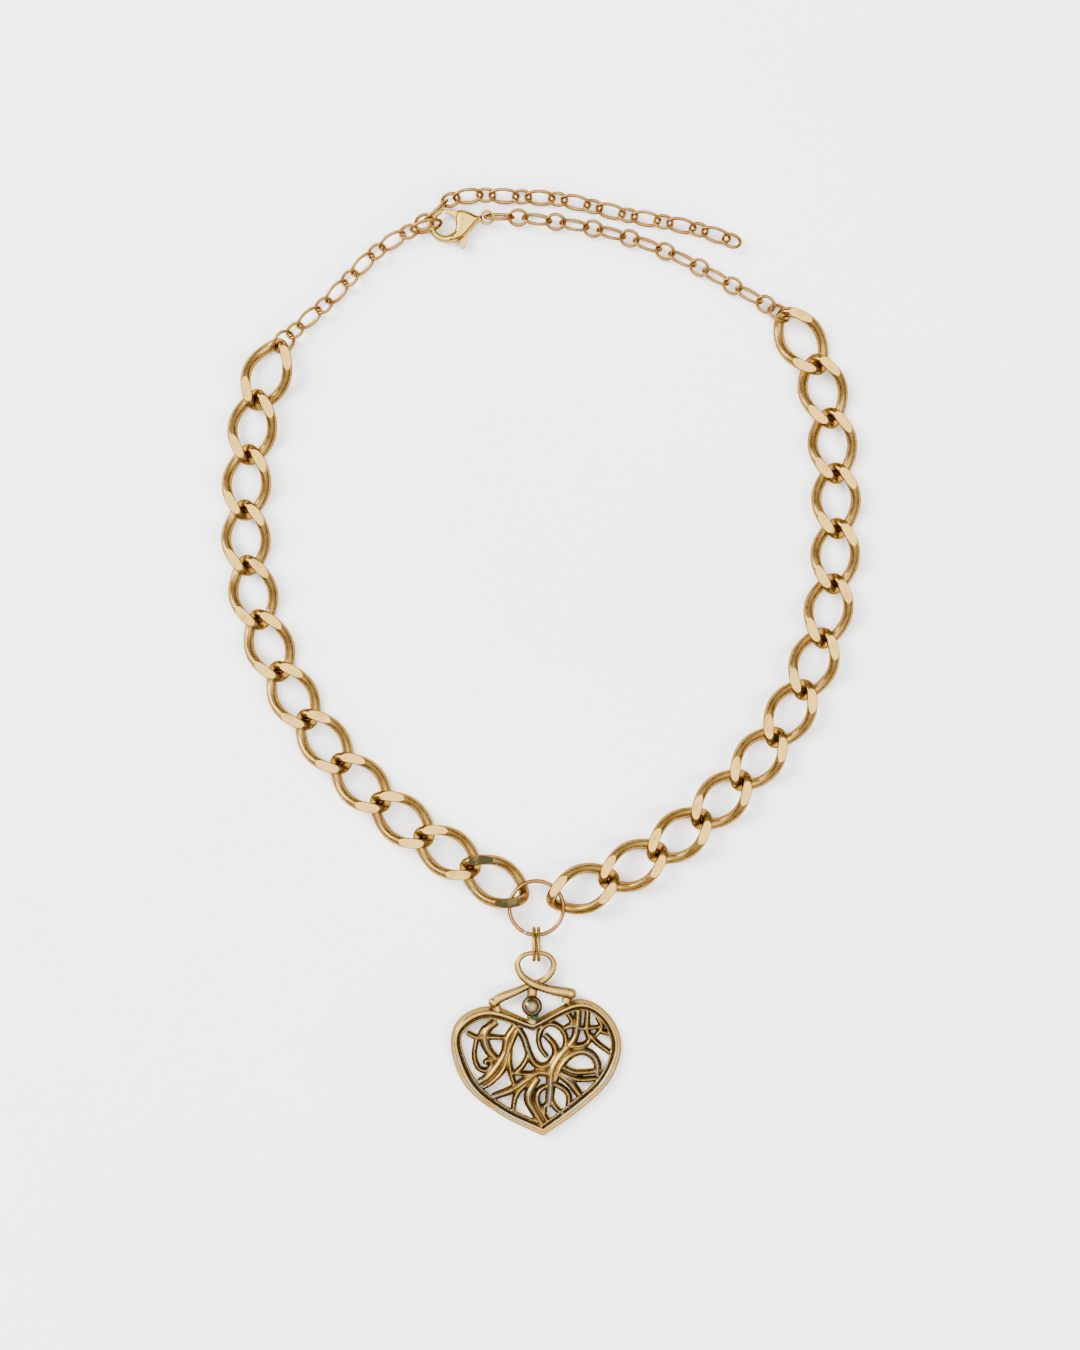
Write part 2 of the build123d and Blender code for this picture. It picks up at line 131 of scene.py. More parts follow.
class Nodes:
    """A material's node tree, with short calls for what the metals share."""

    def __init__(self, name):
        self.material = bpy.data.materials.new(name)
        self.material.use_nodes = True
        self.tree = self.material.node_tree
        self.shader = self.tree.nodes["Principled BSDF"]
        self.place = self.add("ShaderNodeTexCoord")

    def add(self, kind, **settings):
        node = self.tree.nodes.new(kind)
        for key, value in settings.items():
            setattr(node, key, value)
        return node

    def link(self, output, node, socket):
        self.tree.links.new(output, node.inputs[socket])

    def noise(self, size_mm, detail=4.0, stretch=(1, 1, 1)):
        """Cloudy noise whose blotches are about size_mm across."""
        mapping = self.add("ShaderNodeMapping")
        mapping.inputs["Scale"].default_value = stretch
        self.link(self.place.outputs["Object"], mapping, "Vector")
        noise = self.add("ShaderNodeTexNoise")
        noise.inputs["Scale"].default_value = 1 / (size_mm * MM)
        noise.inputs["Detail"].default_value = detail
        self.link(mapping.outputs["Vector"], noise, "Vector")
        return noise.outputs["Fac"]

    def ramp(self, value, low, high, to_low=0.0, to_high=1.0):
        """value between low and high, spread over to_low and to_high and held there."""
        spread = self.add("ShaderNodeMapRange", interpolation_type="SMOOTHSTEP")
        limits = {"From Min": low, "From Max": high, "To Min": to_low, "To Max": to_high}
        for socket, number in limits.items():
            spread.inputs[socket].default_value = number
        self.link(value, spread, "Value")
        return spread.outputs["Result"]

    def mix(self, factor, first, second):
        """A colour between two, either of which is a colour or another node's output."""
        blend = self.add("ShaderNodeMix", data_type="RGBA")
        self.link(factor, blend, 0)
        for index, colour in ((6, first), (7, second)):
            if isinstance(colour, tuple):
                blend.inputs[index].default_value = (*colour, 1)
            else:
                self.tree.links.new(colour, blend.inputs[index])
        return blend.outputs[2]

    def maths(self, operation, first, second):
        node = self.add("ShaderNodeMath", operation=operation)
        for index, value in enumerate((first, second)):
            if isinstance(value, (int, float)):
                node.inputs[index].default_value = value
            else:
                self.tree.links.new(value, node.inputs[index])
        return node.outputs[0]

    def recess(self, reach_mm):
        """1 in the open and towards 0 down in a recess of that reach."""
        cover = self.add("ShaderNodeAmbientOcclusion", only_local=True, samples=8)
        cover.inputs["Distance"].default_value = reach_mm * MM
        return cover.outputs["AO"]

    def upright(self):
        """1 where the surface faces straight up or down, and 0 where it stands on edge."""
        parts = self.add("ShaderNodeSeparateXYZ")
        self.link(self.place.outputs["Normal"], parts, "Vector")
        return self.maths("ABSOLUTE", parts.outputs["Z"], 0.0)

    def painted_flank_shade(self):
        """Painted shade on a wire's sides, by the share set for it above, and 0 on its top and
        underside.
        """
        return self.ramp(self.upright(), *FLANK_SHADE_BAND, FLANK_PAINTED_SHADE, 0.0)

    def bump(self, height, depth_mm):
        bump = self.add("ShaderNodeBump")
        bump.inputs["Distance"].default_value = depth_mm * MM
        bump.inputs["Strength"].default_value = 1.0
        self.link(height, bump, "Height")
        self.link(bump.outputs["Normal"], self.shader, "Normal")

    def metal(self, colour, roughness):
        self.shader.inputs["Metallic"].default_value = 1.0
        self.shader.inputs["Specular Tint"].default_value = (*EDGE_TINT, 1)
        self.link(colour, self.shader, "Base Color")
        self.link(roughness, self.shader, "Roughness")
        return self.material


def plated(name, colours, satin, blotch_mm=3.5, scratch_mm=0.006):
    """Worn plate: uneven tone, painted shade down the sides, darkening where other metal comes
    close, specks of grime, scratches and soft dents.
    """
    bright, deep, grime_and_shade = colours
    metal = Nodes(name)
    tone = metal.mix(metal.ramp(metal.noise(blotch_mm), 0.35, 0.68), bright, deep)
    # Darker where other metal comes within 0.9 mm of the surface
    crook = metal.ramp(metal.recess(0.9), 0.25, 0.85, 1.0, 0.0)
    speck = metal.ramp(metal.noise(0.35), 0.64, 0.78, 0.0, 0.2)
    # Painted shade down the wire's sides, with specks of grime and the darkening where metal comes
    # close
    darkening_and_shade = metal.maths("MAXIMUM", metal.maths("MAXIMUM", crook, speck), metal.painted_flank_shade())
    colour = metal.mix(darkening_and_shade, tone, grime_and_shade)
    scratches = metal.noise(0.5, 2.0, (1, 6, 3))
    rough = metal.ramp(metal.noise(1.2), 0.3, 0.75, satin, satin + 0.16)
    rough = metal.maths("ADD", rough, metal.ramp(scratches, 0.55, 0.8, 0.0, 0.12))
    metal.bump(metal.maths("ADD", scratches, metal.noise(1.6, 2.0)), scratch_mm)
    return metal, colour, rough


def plain_plate(name, colours, satin, **texture):
    """Plate all over, for a piece with no faces cut flat."""
    metal, colour, rough = plated(name, colours, satin, **texture)
    return metal.metal(colour, rough)


def curb_gold(name, facets):
    """The curb links' plate, whose faces cut flat differ from the round wire and are smoother."""
    metal, round_colour, round_rough = plated(
        name, CURB_PLATE, 0.2, scratch_mm=WIRE_SCRATCH_MM)
    flat = metal.ramp(metal.upright(), *FACET_BAND)
    worn = metal.mix(metal.ramp(metal.noise(2.6), 0.5, 0.7), *facets)
    colour = metal.mix(flat, round_colour, worn)
    polish = metal.ramp(metal.noise(0.8, 3.0), 0.3, 0.8, 0.13, 0.27)
    kept = metal.maths("MULTIPLY", round_rough, metal.maths("SUBTRACT", 1.0, flat))
    rough = metal.maths("ADD", kept, metal.maths("MULTIPLY", polish, flat))
    return metal.metal(colour, rough)


def antique_gold():
    """A cast heart: brown patina in its recesses, painted shade down its sides, gold on top,
    silvery where worn.
    """
    metal = Nodes("antique_gold")
    open_air = metal.recess(1.6)
    gold = metal.mix(metal.ramp(metal.noise(4.0), 0.35, 0.7), *HEART_GOLD)
    parts = metal.add("ShaderNodeSeparateXYZ")
    metal.link(metal.place.outputs["Object"], parts, "Vector")
    high = metal.ramp(parts.outputs["Z"], *WORN_HEIGHTS)
    low_down = metal.ramp(parts.outputs["Y"], WORN_BELOW - WORN_FADE, WORN_BELOW, 1.0, 0.0)
    high = metal.maths("MULTIPLY", high, low_down)
    patchy = metal.ramp(metal.noise(7.0, 2.0), 0.44, 0.58)
    silvery = metal.maths("MULTIPLY", high, patchy)
    worn = metal.mix(silvery, gold, HEART_SILVERY)
    patina_and_shade = metal.mix(metal.ramp(metal.noise(1.5), 0.4, 0.65), *HEART_PATINA_AND_SHADE)
    # Brown patina in the recesses and painted shade down the sides
    darkening_and_shade = metal.maths("MAXIMUM", metal.ramp(open_air, 0.38, 0.9, 1.0, 0.0), metal.painted_flank_shade())
    colour = metal.mix(darkening_and_shade, worn, patina_and_shade)
    rough = metal.ramp(open_air, 0.3, 0.9, 0.62, 0.25)
    rough = metal.maths("ADD", rough, metal.ramp(metal.noise(0.5), 0.45, 0.75, 0.0, 0.14))
    metal.bump(metal.maths("ADD", metal.noise(0.9, 3.0), metal.noise(0.22, 2.0)), 0.03)
    return metal.metal(colour, rough)


def verdigris():
    """Green copper salts that have gathered under the bead."""
    salts = Nodes("verdigris")
    colour = salts.mix(salts.ramp(salts.noise(0.4), 0.35, 0.65), *VERDIGRIS)
    salts.link(colour, salts.shader, "Base Color")
    salts.link(salts.ramp(salts.noise(0.3), 0.3, 0.7, 0.6, 0.9), salts.shader, "Roughness")
    salts.bump(salts.noise(0.15), 0.08)
    return salts.material


def table_top():
    """Smooth pale board with a barely visible tooth."""
    board = Nodes("table_top")
    colour = board.mix(board.ramp(board.noise(90.0), 0.3, 0.7), *BOARD)
    board.link(colour, board.shader, "Base Color")
    board.link(board.ramp(board.noise(3.0), 0.3, 0.7, 0.55, 0.65), board.shader, "Roughness")
    board.bump(board.noise(0.5), 0.01)
    return board.material


# ---------------------------------------------------------------- mesh tools

def smooth_line(points, per_span=10):
    """A Catmull-Rom line through rows of numbers, of any length each."""
    rows = np.array(points, float)
    rows = np.vstack([2 * rows[0] - rows[1], rows, 2 * rows[-1] - rows[-2]])
    line = []
    for before, start, end, after in zip(rows, rows[1:], rows[2:], rows[3:]):
        for t in np.arange(per_span) / per_span:
            line.append(0.5 * (2 * start + (end - before) * t
                               + (2 * before - 5 * start + 4 * end - after) * t ** 2
                               + (3 * (start - end) + after - before) * t ** 3))
    line.append(rows[-2])
    return np.array(line)


def shell(rings, closed=False):
    """(vertices, faces) of a tube through equal rings of points, capped unless it closes."""
    count = len(rings[0])
    vertices = [tuple(point) for ring in rings for point in ring]
    faces = []
    for n in range(len(rings) if closed else len(rings) - 1):
        this, following = n * count, (n + 1) % len(rings) * count
        for m in range(count):
            right = (m + 1) % count
            faces.append((this + m, this + right, following + right, following + m))
    if not closed:
        faces.append(tuple(reversed(range(count))))
        faces.append(tuple(range((len(rings) - 1) * count, len(rings) * count)))
    return vertices, faces


# Sections of a bar, as (across, up) in shares of its width and height
ROUND = [(0.5 * cos(2 * pi * n / 14), 0.5 * sin(2 * pi * n / 14)) for n in range(14)]
RIDGED = [(0.5, -0.3), (0.42, 0.08), (0.22, 0.34), (0.0, 0.5), (-0.22, 0.34), (-0.42, 0.08),
          (-0.5, -0.3), (-0.36, -0.5), (0.36, -0.5)]


def strand(points, profile=RIDGED, width=1.0, height=1.5, level=1.3, ends=0.75):
    """A bar along points of (x, y), with its own width, height and level, or of
    (x, y, level, width, height), drawn in towards both ends by the factor ends."""
    rows = [tuple(p) if len(p) == 5 else (p[0], p[1], level, width, height) for p in points]
    line = smooth_line(rows)
    headings = np.gradient(line[:, :2], axis=0)
    headings /= np.linalg.norm(headings, axis=1)[:, None]
    rings = []
    for place, (row, heading) in enumerate(zip(line, headings)):
        along = place / (len(line) - 1)
        taper = ends + (1 - ends) * sin(pi * along) ** 0.5
        side = np.array([heading[1], -heading[0]])
        rings.append([(*(row[:2] + side * a * row[3] * taper), row[2] + b * row[4] * taper)
                      for a, b in profile])
    return shell(rings)


def slab(outline, sections):
    """A closed outline stacked in sections of (inset, height), drawn in along its normals."""
    points = np.array(outline, float)
    tangents = np.roll(points, -1, axis=0) - np.roll(points, 1, axis=0)
    normals = np.stack([tangents[:, 1], -tangents[:, 0]], axis=1)
    normals /= np.linalg.norm(normals, axis=1)[:, None]
    return shell([[(*point, height) for point in points - normals * inset]
                  for inset, height in sections])


def ball(centre, radii, rings=10, sides=16):
    """A closed ellipsoid for blending into a casting."""
    stack = []
    for n in range(1, rings):
        polar = pi * n / rings
        stack.append([(centre[0] + radii[0] * sin(polar) * cos(2 * pi * m / sides),
                       centre[1] + radii[1] * sin(polar) * sin(2 * pi * m / sides),
                       centre[2] - radii[2] * cos(polar)) for m in range(sides)])
    return shell(stack)


def raw_object(name, shells, place):
    """One object of all the shells, in millimetres, set by the matrix place."""
    vertices, faces = [], []
    for points, polygons in shells:
        faces += [tuple(index + len(vertices) for index in polygon) for polygon in polygons]
        vertices += points
    mesh = bpy.data.meshes.new(name)
    mesh.from_pydata(vertices, [], faces)
    mesh.transform(place @ Matrix.Scale(MM, 4))
    piece = bpy.data.objects.new(name, mesh)
    bpy.context.scene.collection.objects.link(piece)
    return piece


def apply_modifiers(piece):
    """The piece's own mesh becomes what its modifiers show."""
    bpy.context.view_layer.update()
    shown = piece.evaluated_get(bpy.context.evaluated_depsgraph_get())
    mesh = bpy.data.meshes.new_from_object(shown)
    piece.modifiers.clear()
    piece.data = mesh


def cast(name, shells, place, voxel, smoothing, cutters=()):
    """Seamless metal from overlapping shells, less the cutters, with its edges eased."""
    piece = raw_object(name, shells, place)
    merge = piece.modifiers.new("merge", "REMESH")
    merge.mode = "VOXEL"
    merge.voxel_size = voxel * MM
    for number, cutter in enumerate(cutters):
        tool = raw_object(f"{name}_cutter_{number}", [cutter], place)
        cut = piece.modifiers.new("cut", "BOOLEAN")
        cut.operation = "DIFFERENCE"
        cut.solver = "EXACT"
        cut.object = tool
    if cutters:
        even = piece.modifiers.new("even", "REMESH")
        even.mode = "VOXEL"
        even.voxel_size = voxel * MM
    ease = piece.modifiers.new("ease", "SMOOTH")
    ease.factor = 0.5
    ease.iterations = smoothing
    apply_modifiers(piece)
    for tool in [o for o in bpy.data.objects if o.name.startswith(f"{name}_cutter_")]:
        bpy.data.objects.remove(tool)
    for polygon in piece.data.polygons:
        polygon.use_smooth = True
    return piece


def finish_piece(piece, material, slot, body, *nodes):
    piece.data.materials.clear()
    piece.data.materials.append(material)
    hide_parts(*nodes)
    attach(piece, body)


def centre_of(node):
    low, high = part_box(node)
    return (low + high) / 2


# ---------------------------------------------------------------- the heart

# In millimetres, with heights from the table and the bead at this place
BEAD_IN_HEART = (-0.85, 13.1)
RIM_STEPS = 14
HEART_NOTCH, HEART_TIP = (-0.65, 9.6), (1.5, -15.2)
HEART_LEFT = [(-9.8, 12.8), (-16.4, 10.3), (-18.4, 4.3), (-15.4, -4.3), (-7.8, -10.6)]
HEART_RIGHT = [(9.2, -9.9), (16.0, -3.3), (18.5, 4.3), (15.8, 11.0), (9.3, 14.3)]
INNER_NOTCH, INNER_TIP = (-0.65, 7.6), (1.7, -12.4)
INNER_LEFT = [(-9.9, 10.2), (-14.9, 8.0), (-16.0, 4.3), (-12.6, -3.6), (-6.2, -8.8)]
INNER_RIGHT = [(8.0, -7.5), (13.6, -2.4), (16.2, 4.3), (13.9, 10.1), (8.8, 11.9)]

# Across the rim, from its outer edge to its inner one: a broad outer roll, a
# groove, and a fine inner roll that overhangs the openwork
RIM_PROFILE = [
    (0.06, 0.02), (0.0, 0.3), (0.0, 0.95), (0.07, 1.5), (0.2, 2.0), (0.36, 2.42), (0.5, 2.54),
    (0.62, 2.4), (0.7, 1.9), (0.76, 1.45), (0.82, 1.75), (0.9, 2.15), (0.98, 2.0),
    (1.02, 1.55), (1.0, 0.7), (0.92, 0.05),
]

# Bars of the openwork: width, level of the middle, and the route
BARS = [
    (1.7, 1.6, [(-8.4, 9.6), (-10.5, 8.0), (-11.1, 6.1), (-10.4, 3.6), (-8.5, 1.3)]),
    (1.0, 1.4, [(-10.4, 8.6), (-11.3, 8.0), (-12.2, 6.6)]),
    (1.1, 1.3, [(-14.9, 7.1), (-12.5, 6.1), (-10.0, 6.2), (-6.4, 6.1)]),
    (1.1, 1.4, [(-12.8, 6.1), (-13.3, 2.4), (-12.5, -0.3), (-10.8, -1.0), (-9.7, -0.1),
                (-9.7, 1.1), (-10.7, 1.1), (-11.0, 0.3)]),
    (1.5, 1.6, [(-4.3, 8.9), (-6.1, 6.1), (-6.8, 2.8), (-8.4, 0.0), (-10.3, -2.2), (-12.3, -3.5)]),
    (1.2, 1.5, [(-3.9, 8.2), (-5.6, 4.0), (-7.0, -0.6), (-9.5, -3.4), (-11.4, -4.6)]),
    (1.1, 1.4, [(-5.5, 3.6), (-5.7, 0.8), (-5.3, -1.9), (-4.7, -4.0)]),
    (1.4, 1.6, [(-4.4, 8.9), (-2.7, 6.3), (-1.7, 3.3), (-0.6, 1.0), (1.0, -0.1), (3.0, 0.5),
                (4.2, 2.5), (3.8, 4.7), (1.9, 6.8)]),
    (1.1, 1.4, [(-2.0, 5.0), (-1.8, 2.2), (-2.9, 0.0), (-4.4, -1.5)]),
    (1.1, 1.5, [(2.4, 1.9), (1.0, 3.9), (0.6, 6.1), (1.4, 8.2), (3.2, 9.1), (5.2, 8.3),
                (6.4, 6.1), (6.1, 3.6), (4.9, 1.4)]),
    (1.7, 1.8, [(7.0, 4.3), (5.2, 2.2), (3.6, -0.6), (3.2, -3.3), (3.1, -6.1), (2.7, -8.8)]),
    (1.4, 1.6, [(6.6, 3.9), (8.2, 5.8), (8.8, 8.0), (9.2, 12.2)]),
    (1.0, 1.4, [(6.2, 8.2), (7.8, 9.4), (6.7, 11.6)]),
    (0.9, 1.3, [(6.0, 8.0), (8.4, 8.7), (9.8, 8.1), (13.7, 8.4)]),
    (1.2, 1.5, [(7.4, 4.2), (10.2, 4.5), (11.5, 5.7), (11.0, 8.0), (11.2, 12.0)]),
    (1.1, 1.4, [(11.3, 7.2), (13.2, 5.0), (16.2, 2.7)]),
    (1.0, 1.4, [(13.2, 10.6), (14.2, 8.4), (12.8, 6.4)]),
    (1.0, 1.3, [(13.8, 7.6), (14.8, 7.2), (16.0, 6.9)]),
    (1.5, 1.7, [(4.1, -3.3), (5.4, 0.0), (7.4, 2.3), (9.9, 3.2), (12.1, 2.4), (13.2, 0.6),
                (13.2, -1.8)]),
    (1.1, 1.4, [(5.6, -0.2), (8.2, -1.3), (11.0, -1.3), (14.2, -0.9)]),
    (1.1, 1.4, [(5.2, -1.4), (7.7, -2.5), (9.9, -3.0), (13.2, -2.7)]),
    (1.5, 1.6, [(4.8, -1.6), (7.4, -3.6), (8.5, -5.0), (9.8, -6.7)]),
    (1.6, 1.7, [(3.4, -1.7), (0.5, -1.4), (-2.0, -3.0), (-5.0, -5.0), (-9.4, -6.7)]),
    (1.0, 1.4, [(-5.2, -1.5), (-1.5, -1.7), (0.6, -1.1)]),
    (1.1, 1.4, [(-1.5, -3.4), (-3.7, -5.5), (-4.6, -7.5), (-4.9, -9.8)]),
    (1.6, 1.5, [(0.4, -2.6), (-1.2, -5.2), (-1.6, -7.5), (-0.3, -9.9), (1.5, -13.0)]),
    (1.1, 1.4, [(2.8, -4.0), (0.9, -5.2), (0.2, -7.2), (1.0, -9.4), (2.6, -12.0)]),
    (1.1, 1.4, [(3.6, -3.7), (6.0, -5.0), (7.1, -6.6), (6.9, -9.0)]),
    (1.1, 1.4, [(3.3, -5.6), (3.5, -7.7), (4.6, -9.4), (6.0, -10.2)]),
    (1.0, 1.4, [(2.9, -7.8), (1.9, -8.8), (1.9, -10.4)]),
]
BAR_HEIGHT = 2.1
# How many times its listed width a bar is cast
BAR_FULLNESS = 1.35

# One ribbon of metal: left arm, under the crossing, round the bail, over the crossing
# and out along the right arm. Each row is x, y, level, width and height
RIBBON = [
    (-9.2, 13.7, 1.9, 2.1, 2.0), (-7.4, 14.9, 2.0, 2.2, 2.0), (-4.6, 16.0, 1.9, 1.9, 1.8),
    (-1.6, 17.3, 1.6, 1.5, 1.6), (1.6, 18.5, 1.6, 1.5, 1.5), (3.4, 20.4, 1.9, 1.5, 1.4),
    (3.8, 22.4, 2.2, 1.3, 1.2), (2.5, 24.1, 2.5, 1.1, 1.05), (0.0, 24.55, 2.55, 1.0, 1.0),
    (-2.6, 24.0, 2.5, 1.1, 1.05), (-3.95, 22.3, 2.3, 1.35, 1.3), (-3.2, 19.8, 2.4, 1.6, 1.5),
    (-0.8, 17.9, 2.4, 1.8, 1.7), (2.4, 16.7, 2.3, 2.0, 1.8), (5.2, 16.15, 2.1, 2.3, 2.0),
    (7.2, 15.9, 2.0, 2.3, 2.0),
]
COLLAR = [(-0.6, 17.2), (-0.8, 15.6), (-0.9, 13.4), (-0.9, 11.2), (-0.7, 9.2)]

# The round ends of the ribbon's arms, as centre and radii, and the foot under each,
# as width and route
ARM_ENDS = [((-9.1, 13.8, 1.95), (1.2, 1.1, 1.05)), ((7.5, 15.75, 2.05), (1.35, 1.2, 1.1))]
ARM_FEET = [(1.9, [(-8.8, 14.0), (-8.5, 12.9), (-8.2, 11.8)]),
            (2.0, [(7.2, 15.6), (6.8, 14.6), (6.4, 13.6)])]

# Lumps of the green crust, as centre from the bead and the table, and radii
CRUST_LUMPS = [((0.35, -2.55, 2.0), (1.0, 0.75, 0.5)), ((0.9, -2.2, 1.9), (0.6, 0.5, 0.5))]


def rim():
    """The heart's rim, swept in two halves between the notch and the tip."""
    outer = np.vstack([smooth_line([HEART_NOTCH, *HEART_LEFT, HEART_TIP], RIM_STEPS)[:-1],
                       smooth_line([HEART_TIP, *HEART_RIGHT, HEART_NOTCH], RIM_STEPS)[:-1]])
    inner = np.vstack([smooth_line([INNER_NOTCH, *INNER_LEFT, INNER_TIP], RIM_STEPS)[:-1],
                       smooth_line([INNER_TIP, *INNER_RIGHT, INNER_NOTCH], RIM_STEPS)[:-1]])
    rings = [[(*(start + (end - start) * across), height) for across, height in RIM_PROFILE]
             for start, end in zip(outer, inner)]
    return shell(rings, closed=True)


def make_heart(material):
    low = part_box("pendant_frame")[0]
    bead = centre_of("pendant_bead")
    place = Matrix.Translation(
        (bead.x - BEAD_IN_HEART[0] * MM, bead.y - BEAD_IN_HEART[1] * MM, low.z))
    shells = [rim()]
    for width, level, route in BARS:
        shells.append(strand(route, RIDGED, width * BAR_FULLNESS, BAR_HEIGHT, level))
    shells.append(strand(RIBBON, ROUND, ends=0.95))
    shells.append(strand(COLLAR, ROUND, width=2.2, height=1.6, level=1.5, ends=1.0))
    shells += [ball(centre, radii) for centre, radii in ARM_ENDS]
    shells += [strand(route, ROUND, width, height=1.6, level=1.4, ends=1.0)
               for width, route in ARM_FEET]
    heart = cast("heart_casting", shells, place, voxel=0.1, smoothing=2)
    finish_piece(heart, material, "antique_gold", "pendant", "pendant_frame")


def make_patina_spot():
    """A crust of green under the bead, on the heart's notch."""
    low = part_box("pendant_frame")[0]
    bead = centre_of("pendant_bead")
    place = Matrix.Translation((bead.x, bead.y, low.z))
    lumps = [ball(centre, radii) for centre, radii in CRUST_LUMPS]
    crust = cast("patina_spot", lumps, place, voxel=0.1, smoothing=2)
    crust.data.materials.append(verdigris())
    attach(crust, "pendant")


# ---------------------------------------------------------------- the clasp

# In millimetres from the middle of the hook's hole, with the eye along +x. The clasp
# lies turned by CLASP_TURN degrees, with the lever's pin at PIVOT_IN_CLASP
PIVOT_IN_CLASP = (4.0, 0.3)
CLASP_TURN = 9.5

# The hook's strand starts at its tip, in degrees, and swells from halfway to its heel
HOOK_HOLE_RADIUS = 2.25
HOOK_START, HOOK_STEP, HOOK_POINTS = 74, 12.7, 19
HOOK_WIDTH, HOOK_HEIGHT = 1.15, 1.05
HEEL_SWELL_WIDTH, HEEL_SWELL_HEIGHT = 0.95, 1.3

EYE_X, EYE_RADIUS = 9.3, 1.35
EYE_WIRE_RADIUS, EYE_HALF_HEIGHT = 0.3, 0.42
NECK_EDGE = [(6.9, 0.6), (8.1, 0.42), (8.1, -0.42), (6.9, -0.6)]

BODY_EDGE = [
    (3.15, 2.45), (3.9, 2.55), (4.9, 2.3), (6.0, 1.6), (7.0, 0.85), (7.8, 0.62), (8.35, 0.5),
    (8.35, -0.45), (7.6, -0.6), (6.9, -0.95), (5.8, -1.95), (4.6, -2.95), (3.2, -3.75),
    (1.7, -4.1), (0.5, -3.95), (0.7, -2.7), (1.9, -1.7), (2.35, -0.6), (2.45, 0.6), (2.75, 1.5),
]
BODY_SECTIONS = [(0.75, -1.48), (0.35, -1.2), (0.06, -0.7), (0.0, 0.0), (0.06, 0.7),
                 (0.35, 1.2), (0.75, 1.48)]
LEVER_EDGE = [
    (0.6, 3.2), (1.7, 3.05), (3.0, 2.6), (4.3, 1.2), (4.85, -0.1), (4.35, -3.0), (3.8, -5.1),
    (3.1, -5.65), (2.5, -5.2), (3.0, -3.0), (3.05, 0.2), (2.3, 1.2), (1.4, 1.95), (0.55, 2.35),
]
LEVER_SECTIONS = [(0.12, -0.45), (0.0, -0.3), (0.0, 0.3), (0.12, 0.45)]
TAB_EDGE = [(3.0, -4.2), (2.5, -5.1), (2.9, -5.7), (3.6, -5.2), (4.1, -3.9)]
TAB_SECTIONS = [(0.2, -0.75), (0.03, -0.5), (0.0, 0.0), (0.03, 0.5), (0.2, 0.75)]

# Cut from the body: the mouth that the lever closes, to this depth up and down, and the
# slot that the lever turns in, as pairs of corners
GATE_GAP = [(-0.6, 1.75), (0.55, 3.4), (0.6, 4.2), (2.6, 4.2), (2.5, 2.3), (2.1, 1.5)]
GAP_DEPTH = 2.0
LEVER_SLOT = [((1.0, -1.6), (5.45, 4.4)), ((2.4, -6.0), (5.45, -1.0))]
SLOT_DEPTH = 0.58


def box_cutter(low, high):
    """A closed box between two corners."""
    (x0, y0, z0), (x1, y1, z1) = low, high
    return shell([[(x0, y0, z), (x1, y0, z), (x1, y1, z), (x0, y1, z)] for z in (z0, z1)])


def clasp_place():
    turn = Matrix.Rotation(radians(CLASP_TURN), 4, "Z")
    pin = centre_of("clasp_pin")
    offset = turn @ Vector((*PIVOT_IN_CLASP, 0)) * MM
    return Matrix.Translation(pin - offset) @ turn


def hook_strand():
    """The hook, round its hole from the tip to the heel."""
    points = []
    halfway = HOOK_POINTS // 2
    for n in range(HOOK_POINTS):
        turn = radians(HOOK_START + HOOK_STEP * n)
        swell = max(0.0, (n - halfway) / halfway)
        width = HOOK_WIDTH + HEEL_SWELL_WIDTH * swell
        middle = HOOK_HOLE_RADIUS + width / 2
        points.append((middle * cos(turn), middle * sin(turn), 0.0,
                       width, HOOK_HEIGHT + HEEL_SWELL_HEIGHT * swell))
    return strand(points, ROUND, ends=0.85)


def eye_ring():
    """The ring that the chain's last link passes through."""
    rings = []
    for t in np.linspace(0, 2 * pi, 40, endpoint=False):
        around = [(EYE_RADIUS + EYE_WIRE_RADIUS * cos(a), EYE_HALF_HEIGHT * sin(a))
                  for a in np.linspace(0, 2 * pi, 10, endpoint=False)]
        rings.append([(EYE_X + out * cos(t), out * sin(t), level) for out, level in around])
    return shell(rings, closed=True)


def make_clasp(material):
    place = clasp_place()
    neck = slab(NECK_EDGE, [(0, -EYE_HALF_HEIGHT), (0, EYE_HALF_HEIGHT)])
    shells = [slab(BODY_EDGE[::-1], BODY_SECTIONS), hook_strand(), eye_ring(), neck]
    cutters = [shell([[(*point, level) for point in GATE_GAP[::-1]]
                      for level in (-GAP_DEPTH, GAP_DEPTH)])]
    cutters += [box_cutter((*low, -SLOT_DEPTH), (*high, SLOT_DEPTH)) for low, high in LEVER_SLOT]
    body = cast("clasp_shell", shells, place, voxel=0.07, smoothing=4, cutters=cutters)
    finish_piece(body, material, "clasp_gold", "clasp_body", "clasp_body")
    gate = [slab(LEVER_EDGE[::-1], LEVER_SECTIONS), slab(TAB_EDGE[::-1], TAB_SECTIONS)]
    lever = cast("clasp_gate", gate, place, voxel=0.06, smoothing=3)
    finish_piece(lever, material, "clasp_gold", "clasp_lever", "clasp_lever")


# ---------------------------------------------------------------- the chains

